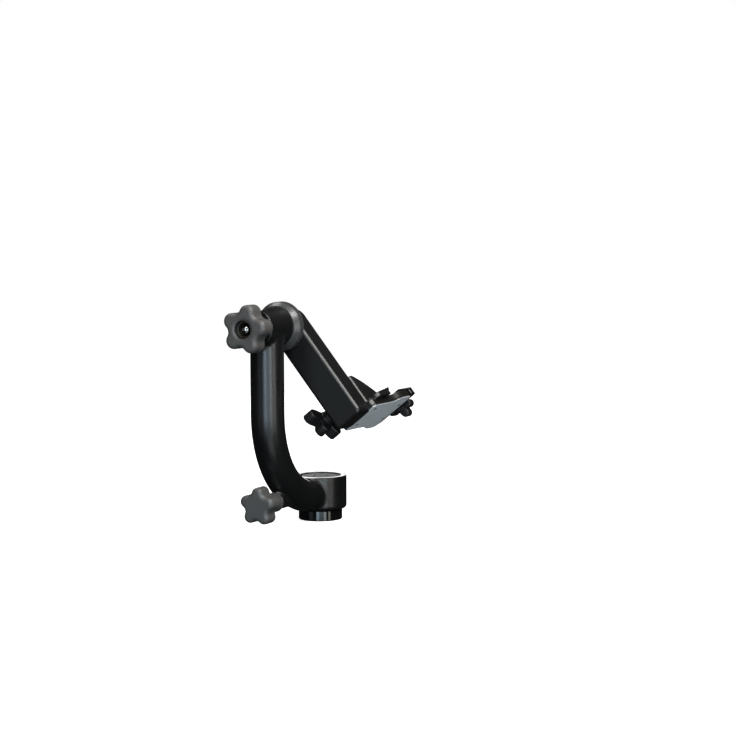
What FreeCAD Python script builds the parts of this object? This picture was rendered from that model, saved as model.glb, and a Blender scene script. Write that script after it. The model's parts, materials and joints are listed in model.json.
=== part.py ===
import FreeCAD, Part
import math
import os

# Gimbal tripod head, millimetres.  +Z is up, the pan axis is Z and the origin is the centre of
# the base foot's underside.  The tilt axis is parallel to X.  The J-arm stands on the -X side;
# the swing arm hangs from its top, swung towards -Y by SWING degrees.

os.makedirs("parts", exist_ok=True)
V = FreeCAD.Vector

# Clearances
SEAT = 0.02          # radial gap of pieces pressed or clamped together
RUN = 0.05           # radial gap of pieces that turn or slide on each other
FREE = 0.5           # gap of faces that pass each other without touching
BEYOND = 400.0       # far past every piece, for the tools that cut one short

# Pan base and housing
FOOT_R = 24.0
FOOT_H = 11.4
HOUSING_R = 29.0
HOUSING_BOTTOM = FOOT_H + FREE
HOUSING_TOP = 48.4
HOUSING_ROUND = 4.0
CAP_R = 22.0
CAP_THICK = 2.4
CAP_TOP = HOUSING_TOP - 0.8
CAP_HOLE_R = 2.0
CAP_HOLE_REACH = 6.9
CAP_HOLE_ANGLE = -61.6
JOURNAL_R = 10.0
LOCK_THREAD_R = 8.0
PAN_RACE_R = 16.0
RACE_WALL = 2.6
PAN_BEARING_LOW = 14.0
PAN_BEARING_WIDE = 7.0
BRAKE_ROOM = 14.0
DRUM_R = 13.0
THREAD_BORE_R = 4.0
INSERT_R = 7.5
INSERT_LONG = 12.0

# Pan lock
LOCK_LEVEL = 31.7
SHOE_R = 3.2
SHOE_BACK = 21.0
PAN_STUD_R = 3.0
PAN_KNOB_STAND = 21.8
PAN_KNOB_THICK = 19.0
PAN_NECK_R = 10.3
BUSH_R = 5.5
BUSH_LONG = 14.5
COLLAR = 1.2

# J-arm
TUBE_R = 17.6
TUBE_IN = 18.0
BEND_R = 96.0
ARM_X = -BEND_R - TUBE_IN
REACH_Z = 28.5
AXIS_Z = 216.0
HUB_NEAR_REACH = 21.0
HUB_FAR_REACH = 18.0
HUB_NEAR_R = 18.4
HUB_MIDDLE_R = 18.8
HUB_FAR_R = 21.2
SADDLE_BLEND = 7.0
HUB_BLEND = 6.0
BOSS_R = 8.6
BOSS_STAND = 16.8

# Tilt stack, in order along the tilt axis from the knob to the swing arm
TILT_KNOB_THICK = 20.0
TILT_KNOB_STAND = 7.75
TILT_NECK_R = 12.5
CAP_RECESS = 6.0
CAP_RECESS_R = 9.2
DOME_R = 6.8
DOME_SPHERE_R = 7.4
THRUST_WASHER = 1.2
FRICTION_WASHER = 1.0
FLANGE_ROOT_R = 21.8
FLANGE_R = 25.4
FLANGE_THICK = 4.8
RING_R = 26.0
RING_THICK = 8.7
RING_GROOVES = 3
AXLE_R = 8.5
AXLE_NOSE_R = 6.5
TILT_RACE_R = 13.0
TILT_RACE_WALL = 2.0
TILT_BEARING_WIDE = 6.0
TILT_STUD_R = 5.0
ARM_SCREW_REACH = 10.6

# Swing arm and its rail
SWING = 38.9
BAR_THICK = 24.5
BAR_HALF = 17.3
BAR_END = 125.2
BAR_EDGE = 3.4
BAR_FRONT_CORNER = 5.5
BAR_REAR_CORNER = 4.0
RAIL_HIGH = 4.0
RAIL_ROOT = 9.0
RAIL_TIP = 11.0
RAIL_START = 26.0
RAIL_SCREW_PITCH = 30.0
STOP_HEAD_R = 2.2
STOP_HEAD_HIGH = 1.8
STOP_STEM_R = 1.25

# Platform bracket and clamp
LEG_GAP = 0.3
LEG_THICK = 6.5
LEG_HALF = 18.0
LEG_LONG = 42.3
LEG_EDGE = 3.6
WEB_BULGE = 1.8
UNDERSIDE_RISE = 0.9
PLATE_THICK = 1.5
PLATE_INSET = 0.6
BED_THICK = 8.4
BED_HALF_NEAR = 23.3
BED_HALF_FAR = 29.4
BED_CORNER = 7.0
SWELL_START = -17.5
SWELL_END = 8.0
PLATFORM_END = 25.0
DOVETAIL_HALF = 19.3
LIP = 3.4
LIP_EDGE = 1.2
FIXED_JAW_RISE = 6.9
JAW_RISE = 5.2
JAW_HALF = 29.5
JAW_THICK = 12.5
JAW_GAP = 1.0
JAW_CORNER = 6.0
JAW_END_DROP = 3.5
JAW_END_RUN = 6.0
JAW_LOW_RISE = 2.4
LUG_HALF = 9.0
SCREW_R = 2.5
SCREW_RISE = 4.9
PIN_R = 2.0
PIN_Y = 20.0
PIN_RISE = 5.5
PLATE_SCREW_R = 1.25

# Height lock
LOCK_RISE = 23.3
HEIGHT_KNOB_Y = 27.0
HEIGHT_STUD_R = 3.0
HEIGHT_STUD_IN = 4.6
GIB_LONG = 36.0
GIB_WALL = 2.5
RAIL_GAP = 0.15

# The small knobs' three wings, as angles from the middle one
WINGS = (-85.0, 0.0, 58.0)

# Stations along X
tube_side = -TUBE_IN - math.sqrt((BEND_R + TUBE_R) ** 2 - (REACH_Z + BEND_R - LOCK_LEVEL) ** 2)
boss_face = tube_side - BOSS_STAND
bush_end = boss_face + BUSH_LONG
pan_knob_back = boss_face - PAN_KNOB_STAND
pan_knob_face = pan_knob_back - PAN_KNOB_THICK
pan_stud_tip = pan_knob_face + 7.0
hub_near = ARM_X - HUB_NEAR_REACH
hub_far = ARM_X + HUB_FAR_REACH
thrust_near = hub_near - THRUST_WASHER
knob_back = thrust_near - TILT_KNOB_STAND
knob_face = knob_back - TILT_KNOB_THICK
cap_seat = knob_face + 5.4
flange_near = hub_far + FRICTION_WASHER
ring_near = flange_near + FLANGE_THICK
bar_near = ring_near + RING_THICK
bar_far = bar_near + BAR_THICK
rail_top = bar_far + RAIL_HIGH
leg_near = bar_far + LEG_GAP
leg_far = leg_near + LEG_THICK
stud_x = leg_near + HEIGHT_STUD_IN
lip_x = DOVETAIL_HALF - LIP
jaw_inner = PLATFORM_END + JAW_GAP
jaw_outer = jaw_inner + JAW_THICK

# Depths below the tilt axis, before the arm is swung
underside = BAR_END - UNDERSIDE_RISE
bed_low = underside - PLATE_THICK
floor = underside - BED_THICK
leg_top = underside - LEG_LONG
lock_deep = underside - LOCK_RISE
screw_deep = underside - SCREW_RISE
pin_deep = underside - PIN_RISE
fixed_jaw_top = floor - FIXED_JAW_RISE
jaw_top = floor - JAW_RISE
jaw_low = underside - JAW_LOW_RISE

# Heights
pan_bearing_high = PAN_BEARING_LOW + PAN_BEARING_WIDE + BRAKE_ROOM
journal_top = pan_bearing_high + PAN_BEARING_WIDE


# ---------------------------------------------------------------- shape helpers
def box(x0, x1, y0, y1, z0, z1):
    return Part.makeBox(x1 - x0, y1 - y0, z1 - z0, V(x0, y0, z0))


def rod_x(x0, x1, r, y=0.0, z=0.0):
    return Part.makeCylinder(r, x1 - x0, V(x0, y, z), V(1, 0, 0))


def rod_y(y0, y1, r, x=0.0, z=0.0):
    return Part.makeCylinder(r, y1 - y0, V(x, y0, z), V(0, 1, 0))


def rod_z(z0, z1, r, x=0.0, y=0.0):
    return Part.makeCylinder(r, z1 - z0, V(x, y, z0), V(0, 0, 1))


def ring_x(x0, x1, r_in, r_out, y=0.0, z=0.0):
    return rod_x(x0, x1, r_out, y, z).cut(rod_x(x0 - 1, x1 + 1, r_in, y, z))


def ring_z(z0, z1, r_in, r_out):
    return rod_z(z0, z1, r_out).cut(rod_z(z0 - 1, z1 + 1, r_in))


def drawn(points, spot, along):
    """A closed outline drawn out along a vector.

    A point of two numbers is reached by a line.  One of four numbers is reached by an arc:
    the first two are the arc's middle, the last two its end.
    """
    edges = []
    here = spot(*points[0])
    for point in points[1:] + points[:1]:
        there = spot(*point[-2:])
        if len(point) == 4:
            edges.append(Part.Arc(here, spot(*point[:2]), there).toShape())
        else:
            edges.append(Part.makeLine(here, there))
        here = there
    return Part.Face(Part.Wire(edges)).extrude(along)


def prism_x(points, x0, x1):
    """An outline of (y, z) points drawn out along X."""
    return drawn(points, lambda y, z: V(x0, y, z), V(x1 - x0, 0, 0))


def prism_y(points, y0, y1):
    """An outline of (x, z) points drawn out along Y."""
    return drawn(points, lambda x, z: V(x, y0, z), V(0, y1 - y0, 0))


def prism_z(points, z0, z1):
    """An outline of (x, y) points drawn out along Z."""
    return drawn(points, lambda x, y: V(x, y, z0), V(0, 0, z1 - z0))


def both_sides(shape):
    """The shape together with its mirror image across the XZ plane."""
    return shape.fuse(shape.mirror(V(0, 0, 0), V(0, 1, 0))).removeSplitter()


def edges_where(shape, test):
    """The edges whose middle point passes the test."""
    found = []
    for edge in shape.Edges:
        middle = edge.valueAt((edge.FirstParameter + edge.LastParameter) / 2.0)
        if test(middle, edge):
            found.append(edge)
    return found


def soften(shape, radius, test):
    return shape.makeFillet(radius, edges_where(shape, test))


def bevel(shape, size, test):
    return shape.makeChamfer(size, edges_where(shape, test))


def is_seam(edge):
    """True for the curve in which two round surfaces meet."""
    return type(edge.Curve).__name__ == "BSplineCurve"


def swung(shape):
    """Moves a piece drawn hanging straight down from the tilt axis to where it is used."""
    shape = shape.copy()
    shape.rotate(V(0, 0, 0), V(1, 0, 0), -SWING)
    shape.translate(V(0, 0, AXIS_Z))
    return shape


def at_axis(shape):
    shape = shape.copy()
    shape.translate(V(0, 0, AXIS_Z))
    return shape


def lobed_outline(lobes, reach, lobe_r, hollow_r, turn):
    """A knob outline in the YZ plane: round lobes joined by hollow arcs, all tangent."""
    half = math.pi / lobes
    b = reach * math.cos(half)
    hollow_reach = b + math.sqrt(b * b - reach * reach + (lobe_r + hollow_r) ** 2)
    edges = []
    share = lobe_r / (lobe_r + hollow_r)

    def spot(r, angle):
        return V(0, r * math.cos(angle), r * math.sin(angle))

    for k in range(lobes):
        a = turn + 2.0 * half * k
        lobe = spot(reach, a)
        hollow = spot(hollow_reach, a + half)
        before = spot(hollow_reach, a - half)
        start = lobe + (before - lobe) * share
        end = lobe + (hollow - lobe) * share
        after = spot(reach, a + 2.0 * half)
        finish = after + (hollow - after) * share
        edges.append(Part.Arc(start, spot(reach + lobe_r, a), end).toShape())
        edges.append(Part.Arc(end, spot(hollow_reach - hollow_r, a + half), finish).toShape())
    return Part.Face(Part.Wire(edges))


def lobed_knob(x0, x1, lobes, reach, lobe_r, hollow_r, turn, round_front, round_back):
    body = lobed_outline(lobes, reach, lobe_r, hollow_r, turn).extrude(V(x1 - x0, 0, 0))
    body.translate(V(x0, 0, 0))
    body = soften(body, round_front, lambda p, e: abs(p.x - x0) < 0.01)
    return soften(body, round_back, lambda p, e: abs(p.x - x1) < 0.01)


def winged_knob(reach, width, thick, hub_r, hub_long, turn):
    """A three-winged knob standing on z = 0: its hub first, then the wings.

    The middle wing points to angle turn in the XY plane.
    """
    low = hub_long
    high = hub_long + thick
    half = width / 2.0
    knob = rod_z(low, high, half + 1.0)
    for angle in WINGS:
        wing = box(0, reach - half, -half, half, low, high)
        wing = wing.fuse(rod_z(low, high, half, reach - half, 0))
        wing.rotate(V(0, 0, 0), V(0, 0, 1), turn + angle)
        knob = knob.fuse(wing)
    knob = knob.removeSplitter()
    knob = soften(knob, 2.2, lambda p, e: abs(p.z - high) < 0.01 or abs(p.z - low) < 0.01)
    return knob.fuse(rod_z(0, low + 1.0, hub_r)).removeSplitter()


# ---------------------------------------------------------------- pan base
def pan_base():
    foot = rod_z(0, FOOT_H, FOOT_R)
    foot = bevel(foot, 0.8, lambda p, e: abs(p.z) < 0.01)
    foot = soften(foot, 1.2, lambda p, e: abs(p.z - FOOT_H) < 0.01)
    foot = foot.fuse(rod_z(FOOT_H - 1, PAN_BEARING_LOW, JOURNAL_R + 2.4))
    foot = foot.fuse(rod_z(PAN_BEARING_LOW - 1, journal_top, JOURNAL_R))
    foot = foot.fuse(rod_z(journal_top - 1, journal_top + 3.0, LOCK_THREAD_R))
    foot = foot.cut(rod_z(-1, INSERT_LONG, INSERT_R + SEAT))
    foot = foot.cut(rod_z(INSERT_LONG, INSERT_LONG + 10.0, THREAD_BORE_R + 1.0))
    return foot.removeSplitter()


def tripod_thread_insert():
    return ring_z(0, INSERT_LONG, THREAD_BORE_R, INSERT_R)


def pan_race_lows():
    return [PAN_BEARING_LOW, pan_bearing_high]


def pan_inner_races():
    rings = []
    for z in pan_race_lows():
        rings.append(ring_z(z, z + PAN_BEARING_WIDE, JOURNAL_R + SEAT, JOURNAL_R + RACE_WALL))
    return Part.makeCompound(rings)


def pan_outer_races():
    rings = []
    for z in pan_race_lows():
        ring = ring_z(z, z + PAN_BEARING_WIDE, JOURNAL_R + RACE_WALL + 0.1, PAN_RACE_R)
        rings.append(ring)
    return Part.makeCompound(rings)


def pan_brake_drum():
    low = PAN_BEARING_LOW + PAN_BEARING_WIDE
    return ring_z(low, pan_bearing_high, JOURNAL_R + SEAT, DRUM_R)


def pan_lock_washer():
    return ring_z(journal_top, journal_top + 1.0, LOCK_THREAD_R + SEAT, 12.0)


def pan_lock_nut():
    low = journal_top + 1.0
    points = []
    for k in range(6):
        a = math.radians(60 * k)
        points.append((11.5 * math.cos(a), 11.5 * math.sin(a)))
    nut = prism_z(points, low, low + 2.0)
    return nut.cut(rod_z(low - 1, low + 3, LOCK_THREAD_R + SEAT))


# ---------------------------------------------------------------- J-arm
def j_tube():
    """The bent tube from under the hub into the housing, as one swept solid."""
    bend_top = V(ARM_X, 0, REACH_Z + BEND_R)
    bend_end = V(-TUBE_IN, 0, REACH_Z)
    corner = BEND_R * (1.0 - math.sqrt(0.5))
    spine = Part.Wire([
        Part.makeLine(V(ARM_X, 0, AXIS_Z), bend_top),
        Part.Arc(bend_top, V(ARM_X + corner, 0, REACH_Z + corner), bend_end).toShape(),
    ])
    section = Part.Wire(Part.makeCircle(TUBE_R, V(ARM_X, 0, AXIS_Z), V(0, 0, -1)))
    return spine.makePipeShell([section], True, False)


def blended_boss(arm):
    """Adds the pan lock's boss on the outside of the bend."""
    arm = arm.fuse(rod_x(boss_face, -HOUSING_R, BOSS_R, 0, LOCK_LEVEL)).removeSplitter()
    return soften(arm, 2.5, lambda p, e: boss_face < p.x < tube_side + 2.5 * BOSS_R
                  and p.z < REACH_Z + TUBE_R and is_seam(e))


def blended_hub(arm):
    """Adds the hub, flaring towards the flange, with a hollow blend round the tube.

    The blend is made on an overlong hub, which is then cut to length.
    """
    more = 2.0 * HUB_BLEND
    x0 = hub_near - more
    x1 = hub_far + more
    near = V(hub_near, 0, HUB_NEAR_R)
    middle = V(ARM_X, 0, HUB_MIDDLE_R)
    far = V(hub_far, 0, HUB_FAR_R)
    flare = Part.Arc(near, middle, far).toShape()
    face = Part.Face(Part.Wire([
        Part.makeLine(V(x0, 0, 0), V(x0, 0, HUB_NEAR_R)),
        Part.makeLine(V(x0, 0, HUB_NEAR_R), near),
        flare,
        Part.makeLine(far, V(x1, 0, HUB_FAR_R)),
        Part.makeLine(V(x1, 0, HUB_FAR_R), V(x1, 0, 0)),
        Part.makeLine(V(x1, 0, 0), V(x0, 0, 0)),
    ]))
    hub = at_axis(face.revolve(V(0, 0, 0), V(1, 0, 0), 360))
    low = AXIS_Z - 2.0 * HUB_FAR_R
    arm = arm.fuse(hub).removeSplitter()
    arm = soften(arm, HUB_BLEND, lambda p, e: low < p.z < AXIS_Z and is_seam(e))
    arm = arm.cut(box(-BEYOND, hub_near, -BEYOND, BEYOND, low, BEYOND))
    return arm.cut(box(hub_far, BEYOND, -BEYOND, BEYOND, low, BEYOND))


def blended_housing(arm):
    """Adds the pan housing, with a hollow blend all round the tube that runs into it.

    The blend is made on an overlong housing, which is then cut to height.
    """
    room = 3.0 * TUBE_R
    arm = rod_z(REACH_Z - room, REACH_Z + room, HOUSING_R).fuse(arm).removeSplitter()
    arm = soften(arm, SADDLE_BLEND, lambda p, e: p.z < REACH_Z + 2.0 * TUBE_R and is_seam(e))
    over = box(-HOUSING_R - SADDLE_BLEND, BEYOND, -room, room, HOUSING_TOP, BEYOND)
    under = box(-BEYOND, BEYOND, -room, room, -BEYOND, HOUSING_BOTTOM)
    return arm.cut(over).cut(under)


def j_arm():
    arm = blended_housing(blended_hub(blended_boss(j_tube())))
    arm = soften(arm, HOUSING_ROUND, lambda p, e: abs(p.z - HOUSING_BOTTOM) < 0.01)
    arm = arm.cut(pan_cavity())
    arm = arm.cut(at_axis(tilt_cavity()))
    arm = arm.cut(brake_bore())
    arm = bevel(arm, 0.8, lambda p, e: abs(p.z - HOUSING_TOP) < 0.01 and math.hypot(p.x, p.y) < CAP_R + 1)
    return arm.removeSplitter()


def pan_cavity():
    web_low = PAN_BEARING_LOW + PAN_BEARING_WIDE
    cavity = rod_z(0, web_low, PAN_RACE_R + SEAT)
    cavity = cavity.fuse(rod_z(web_low - 1, pan_bearing_high + 1, DRUM_R + 1.5))
    cavity = cavity.fuse(rod_z(pan_bearing_high, CAP_TOP, PAN_RACE_R + SEAT))
    return cavity.fuse(rod_z(CAP_TOP - CAP_THICK, HOUSING_TOP + 1, CAP_R + SEAT))


def tilt_cavity():
    seat = TILT_RACE_R + SEAT
    cavity = rod_x(hub_near - 1, hub_near + TILT_BEARING_WIDE, seat)
    cavity = cavity.fuse(rod_x(hub_near, hub_far, TILT_RACE_R - 1.5))
    return cavity.fuse(rod_x(hub_far - TILT_BEARING_WIDE, hub_far + 1, seat))


def brake_bore():
    """The passage for the pan lock: shoe, screw and the threaded bush in the boss."""
    shoe_room = -HOUSING_R - 11.0
    bore = rod_x(shoe_room, -DRUM_R + 5.0, SHOE_R + RUN, 0, LOCK_LEVEL)
    bore = bore.fuse(rod_x(boss_face - 1, shoe_room + 1, PAN_STUD_R + 0.4, 0, LOCK_LEVEL))
    return bore.fuse(rod_x(boss_face - 1, bush_end, BUSH_R + SEAT, 0, LOCK_LEVEL))


def pan_cap():
    cap = rod_z(CAP_TOP - CAP_THICK, CAP_TOP, CAP_R)
    cap = bevel(cap, 0.6, lambda p, e: abs(p.z - CAP_TOP) < 0.01)
    for side in (0, 180):
        a = math.radians(CAP_HOLE_ANGLE + side)
        x = CAP_HOLE_REACH * math.cos(a)
        y = CAP_HOLE_REACH * math.sin(a)
        cap = cap.cut(rod_z(CAP_TOP - 1.6, CAP_TOP + 1, CAP_HOLE_R, x, y))
    return cap


def pan_lock_bush():
    face = boss_face - COLLAR
    bush = ring_x(face, bush_end, PAN_STUD_R + RUN, BUSH_R, 0, LOCK_LEVEL)
    collar = ring_x(face, boss_face, PAN_STUD_R + RUN, PAN_NECK_R, 0, LOCK_LEVEL)
    return bush.fuse(collar).removeSplitter()


def pan_brake_shoe():
    shoe = rod_x(-SHOE_BACK, -DRUM_R + 3.0, SHOE_R, 0, LOCK_LEVEL)
    return shoe.cut(rod_z(0, HOUSING_TOP, DRUM_R + RUN))


def pan_knob():
    body = lobed_knob(pan_knob_face, pan_knob_back, 5, 13.6, 6.6, 5.8, math.radians(92), 4.4, 2.4)
    body = body.fuse(rod_x(pan_knob_back - 2, boss_face - COLLAR - 0.9, PAN_NECK_R))
    body = body.cut(rod_x(pan_stud_tip, boss_face, PAN_STUD_R + SEAT))
    body.translate(V(0, 0, LOCK_LEVEL))
    return body.removeSplitter()


def pan_knob_stud():
    return rod_x(pan_stud_tip, -SHOE_BACK, PAN_STUD_R, 0, LOCK_LEVEL)


# ---------------------------------------------------------------- tilt stack
def tilt_race_nears():
    return [hub_near, hub_far - TILT_BEARING_WIDE]


def tilt_outer_races():
    rings = []
    for x in tilt_race_nears():
        rings.append(ring_x(x, x + TILT_BEARING_WIDE, AXLE_R + TILT_RACE_WALL + 0.1, TILT_RACE_R))
    return at_axis(Part.makeCompound(rings))


def tilt_inner_races():
    rings = []
    for x in tilt_race_nears():
        rings.append(ring_x(x, x + TILT_BEARING_WIDE, AXLE_R + SEAT, AXLE_R + TILT_RACE_WALL))
    return swung(Part.makeCompound(rings))


def tilt_spacer():
    x0 = hub_near + TILT_BEARING_WIDE
    x1 = hub_far - TILT_BEARING_WIDE
    return swung(ring_x(x0, x1, AXLE_R + SEAT, AXLE_R + TILT_RACE_WALL - 0.2))


def tilt_axle():
    axle = rod_x(hub_near, flange_near, AXLE_R)
    axle = axle.fuse(rod_x(flange_near - 1, bar_far - 8.0, AXLE_NOSE_R))
    axle = axle.fuse(rod_x(cap_seat, hub_near + 1, TILT_STUD_R))
    axle = axle.cut(rod_x(cap_seat - 1, cap_seat + 12, SCREW_R + SEAT))
    axle = axle.cut(rod_x(bar_far - 26, bar_far, 3.0 + SEAT))
    return swung(axle.removeSplitter())


def tilt_cap_screw():
    """The domed screw that closes the knob's recess."""
    centre = cap_seat + math.sqrt(DOME_SPHERE_R ** 2 - DOME_R ** 2)
    dome = Part.makeSphere(DOME_SPHERE_R, V(centre, 0, 0))
    dome = dome.common(rod_x(cap_seat - DOME_SPHERE_R, cap_seat, DOME_R))
    return swung(dome.fuse(rod_x(cap_seat - 0.5, cap_seat + 10, SCREW_R)).removeSplitter())


def tilt_knob():
    body = lobed_knob(knob_face, knob_back, 5, 17.0, 8.5, 7.2, math.radians(101), 4.6, 2.4)
    body = body.fuse(rod_x(knob_back - 2, thrust_near, TILT_NECK_R))
    body = body.cut(rod_x(knob_face - 1, knob_face + CAP_RECESS, CAP_RECESS_R))
    body = body.cut(rod_x(knob_face, thrust_near + 1, LOCK_THREAD_R + SEAT))
    body = soften(body, 1.2, lambda p, e: abs(p.x - knob_face) < 0.01
                  and math.hypot(p.y, p.z) < CAP_RECESS_R + 0.01)
    return at_axis(body.removeSplitter())


def tilt_knob_insert():
    return at_axis(ring_x(knob_face + CAP_RECESS, thrust_near, TILT_STUD_R + RUN, LOCK_THREAD_R))


def tilt_thrust_washer():
    return at_axis(ring_x(thrust_near, hub_near, TILT_STUD_R + RUN, 10.2))


def tilt_friction_washer():
    return swung(ring_x(hub_far, flange_near, AXLE_R + SEAT, HUB_FAR_R - 0.8))


def arm_screw_spots():
    spots = []
    for k in range(4):
        a = math.radians(45 + 90 * k)
        spots.append((ARM_SCREW_REACH * math.cos(a), ARM_SCREW_REACH * math.sin(a)))
    return spots


def tilt_flange():
    disc = Part.makeCone(FLANGE_ROOT_R, FLANGE_R, FLANGE_THICK, V(flange_near, 0, 0), V(1, 0, 0))
    disc = disc.cut(rod_x(flange_near - 1, ring_near + 1, AXLE_NOSE_R + SEAT))
    for y, z in arm_screw_spots():
        disc = disc.cut(rod_x(ring_near - 3.0, ring_near + 1, 2.0 + SEAT, y, z))
    return swung(disc)


def tilt_groove_ring():
    disc = rod_x(ring_near, bar_near, RING_R)
    disc = bevel(disc, 0.5, lambda p, e: abs(p.x - ring_near) < 0.01 or abs(p.x - bar_near) < 0.01)
    pitch = RING_THICK / (RING_GROOVES + 1.0)
    for k in range(RING_GROOVES):
        x = ring_near + pitch * (k + 1.0)
        disc = disc.cut(ring_x(x - 0.5, x + 0.5, RING_R - 1.2, RING_R + 1))
    disc = disc.cut(rod_x(ring_near - 1, bar_near + 1, AXLE_NOSE_R + SEAT))
    for y, z in arm_screw_spots():
        disc = disc.cut(rod_x(ring_near - 1, bar_near + 1, 2.0 + SEAT, y, z))
    return swung(disc)


# ---------------------------------------------------------------- swing arm
def swing_arm():
    bar = box(bar_near, bar_far, -BAR_HALF, BAR_HALF, -BAR_END, 0)
    bar = soften(bar, BAR_FRONT_CORNER, lambda p, e: abs(p.z + BAR_END) < 0.01
                 and abs(p.y + BAR_HALF) < 0.01)
    bar = soften(bar, BAR_REAR_CORNER, lambda p, e: abs(p.z + BAR_END) < 0.01
                 and abs(p.y - BAR_HALF) < 0.01)
    bar = bar.fuse(rod_x(bar_near, bar_far, BAR_HALF)).removeSplitter()
    bar = soften(bar, BAR_EDGE, lambda p, e: abs(p.x - bar_near) < 0.01)
    bar = bevel(bar, 0.8, lambda p, e: abs(p.x - bar_far) < 0.01)
    bar = bar.cut(rod_x(bar_near - 1, bar_far - 7.9, AXLE_NOSE_R + SEAT))
    bar = bar.cut(rod_x(bar_far - 9, bar_far + 1, 3.0 + SEAT))
    bar = bar.cut(rod_x(bar_far - 3.6, bar_far + 1, 6.0))
    for y, z in arm_screw_spots():
        bar = bar.cut(rod_x(bar_near - 1, bar_far + 1, 2.0 + SEAT, y, z))
        bar = bar.cut(rod_x(bar_far - 4.4, bar_far + 1, 3.7, y, z))
    for z in stop_spots():
        bar = bar.cut(rod_x(bar_far - 4, bar_far + 1, STOP_STEM_R + SEAT, 0, z))
    for z in rail_screw_spots():
        bar = bar.cut(rod_x(bar_far - 9, bar_far + 1, 1.5 + SEAT, 0, z))
    return swung(bar.removeSplitter())


def height_rail():
    """The dovetail rail screwed to the arm's far face."""
    section = [(bar_far, -RAIL_ROOT), (rail_top, -RAIL_TIP), (rail_top, RAIL_TIP), (bar_far, RAIL_ROOT)]
    rail = prism_z(section, -BAR_END + 0.4, -RAIL_START)
    for z in stop_spots():
        rail = rail.cut(rod_x(bar_far - 1, rail_top + 1, STOP_STEM_R + SEAT, 0, z))
    for z in rail_screw_spots():
        rail = rail.cut(rod_x(bar_far - 1, rail_top + 1, 1.5 + SEAT, 0, z))
        rail = rail.cut(Part.makeCone(1.5, 3.2, 1.7, V(rail_top - 1.7, 0, z), V(1, 0, 0)))
    return swung(rail)


def rail_screw_spots():
    middle = -(RAIL_START + BAR_END) / 2.0
    return [middle - RAIL_SCREW_PITCH, middle, middle + RAIL_SCREW_PITCH]


def rail_screws():
    screws = []
    for z in rail_screw_spots():
        screw = Part.makeCone(1.5, 2.9, 1.4, V(rail_top - 1.7, 0, z), V(1, 0, 0))
        screw = screw.cut(rod_x(rail_top - 1.1, rail_top, 1.0, 0, z))
        screw = screw.fuse(rod_x(bar_far - 8, rail_top - 1.6, 1.5, 0, z))
        screws.append(screw.removeSplitter())
    return swung(Part.makeCompound(screws))


def socket_screw(x_head, head_r, head_high, stem_r, stem_end, y, z):
    """A screw along X: its head stands on x_head and its stem runs down to stem_end."""
    head = rod_x(x_head, x_head + head_high, head_r, y, z)
    head = head.cut(rod_x(x_head + head_high * 0.45, x_head + head_high + 1, head_r * 0.48, y, z))
    return head.fuse(rod_x(stem_end, x_head + 0.1, stem_r, y, z)).removeSplitter()


def arm_screws():
    screws = []
    for y, z in arm_screw_spots():
        screws.append(socket_screw(bar_far - 4.4, 3.5, 4.0, 2.0, ring_near - 2.8, y, z))
    return swung(Part.makeCompound(screws))


def axle_end_screw():
    return swung(socket_screw(bar_far - 3.6, 5.6, 3.2, 3.0, bar_far - 25, 0, 0))


def stop_spots():
    """The heights of the rail's lower and upper stop screw."""
    return [-BAR_END + 2.7, -RAIL_START - 3.6]


def rail_stop_screws():
    screws = []
    for z in stop_spots():
        screws.append(socket_screw(rail_top, STOP_HEAD_R, STOP_HEAD_HIGH, STOP_STEM_R,
                                   bar_far - 3.6, 0, z))
    return swung(Part.makeCompound(screws))


# ---------------------------------------------------------------- platform bracket
def bracket_profile():
    """The bracket's side outline as (x, z) points: leg, sloping web, fixed jaw and floor."""
    foot_x = -lip_x - 6.6
    foot_z = 2.0 - fixed_jaw_top
    run = foot_x - leg_far
    drop = foot_z + leg_top
    share = WEB_BULGE / math.hypot(run, drop)
    middle_x = (leg_far + foot_x) / 2.0 - drop * share
    middle_z = (foot_z - leg_top) / 2.0 + run * share
    return [(leg_near, -bed_low), (leg_near, -leg_top), (leg_far, -leg_top),
            (middle_x, middle_z, foot_x, foot_z), (-lip_x, -fixed_jaw_top),
            (-lip_x, -fixed_jaw_top - LIP_EDGE), (-DOVETAIL_HALF, -fixed_jaw_top - LIP_EDGE - LIP),
            (-DOVETAIL_HALF, -floor), (PLATFORM_END, -floor), (PLATFORM_END, -bed_low)]


def fixed_jaw():
    """The fixed jaw across the platform, its dovetail lip facing +X."""
    back = leg_far + 3.0
    low = -floor - 1.4
    jaw = prism_y([(back, low), (back, -fixed_jaw_top - 3.4), (-lip_x - 12, -fixed_jaw_top - 1.5),
                   (-lip_x, -fixed_jaw_top), (-lip_x, -fixed_jaw_top - LIP_EDGE),
                   (-DOVETAIL_HALF, -fixed_jaw_top - LIP_EDGE - LIP), (-DOVETAIL_HALF, low)],
                  -JAW_HALF, JAW_HALF)
    return soften(jaw, 6.0, lambda p, e: abs(p.x - back) < 0.01 and abs(abs(p.y) - JAW_HALF) < 0.01)


def swell(x0, y0, x1, y1):
    """Two equal arcs, as outline points, from (x0, y0) to (x1, y1); both ends run along X."""
    run = x1 - x0
    rise = y1 - y0
    r = (run * run + rise * rise) / (4.0 * rise)
    a = math.asin(run / (2.0 * r)) / 2.0
    x = r * math.sin(a)
    y = r * (1.0 - math.cos(a))
    return [(x0 + x, y0 + y, (x0 + x1) / 2.0, (y0 + y1) / 2.0), (x1 - x, y1 - y, x1, y1)]


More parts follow.
